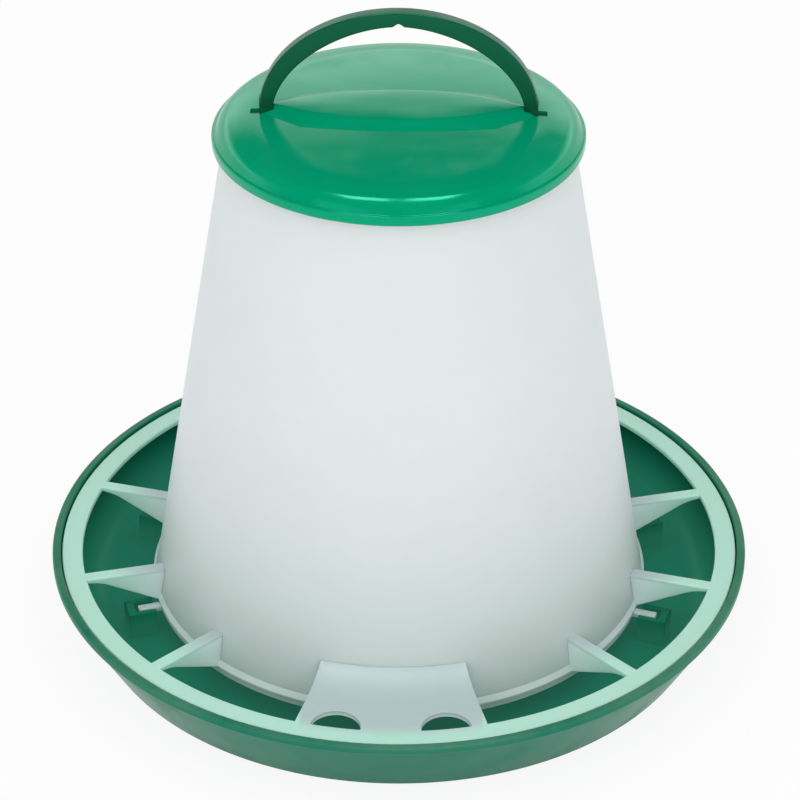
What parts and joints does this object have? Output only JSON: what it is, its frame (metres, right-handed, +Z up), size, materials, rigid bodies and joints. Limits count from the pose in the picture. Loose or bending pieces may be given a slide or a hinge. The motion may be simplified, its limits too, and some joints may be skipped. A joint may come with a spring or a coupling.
{
  "type": "lidded poultry feeder",
  "caption": "Hanging or standing poultry feeder: a round feed pan with a spoked grid, a conical hopper above it, and a lid with an arched handle.",
  "frame": {"origin": "on the feeder's upright axis, at the plane that the pan's foot ring stands on", "axes": "+Z up along the axis; the handle's arch spans X and the grid's two tongues lie along Y"},
  "size_m": [0.32, 0.32, 0.297],
  "materials": {
    "pan_green": "satin",
    "hopper_white": "satin, slightly see-through",
    "grid_pale": "satin",
    "lid_green": "gloss",
    "handle_green": "gloss"
  },
  "bodies": {
    "pan": {"feed_pan": "pan_green"},
    "hopper": {"hopper": "hopper_white", "feed_grid": "grid_pale"},
    "lid": {"lid": "lid_green", "handle": "handle_green"}
  },
  "joints": [
    {"name": "hopper_lift", "type": "slide", "parent": "pan", "child": "hopper", "axis": [0, 0, 1], "range_m": [0, 0.07]},
    {"name": "lid_lift", "type": "slide", "parent": "hopper", "child": "lid", "axis": [0, 0, 1], "range_m": [0, 0.08]}
  ]
}
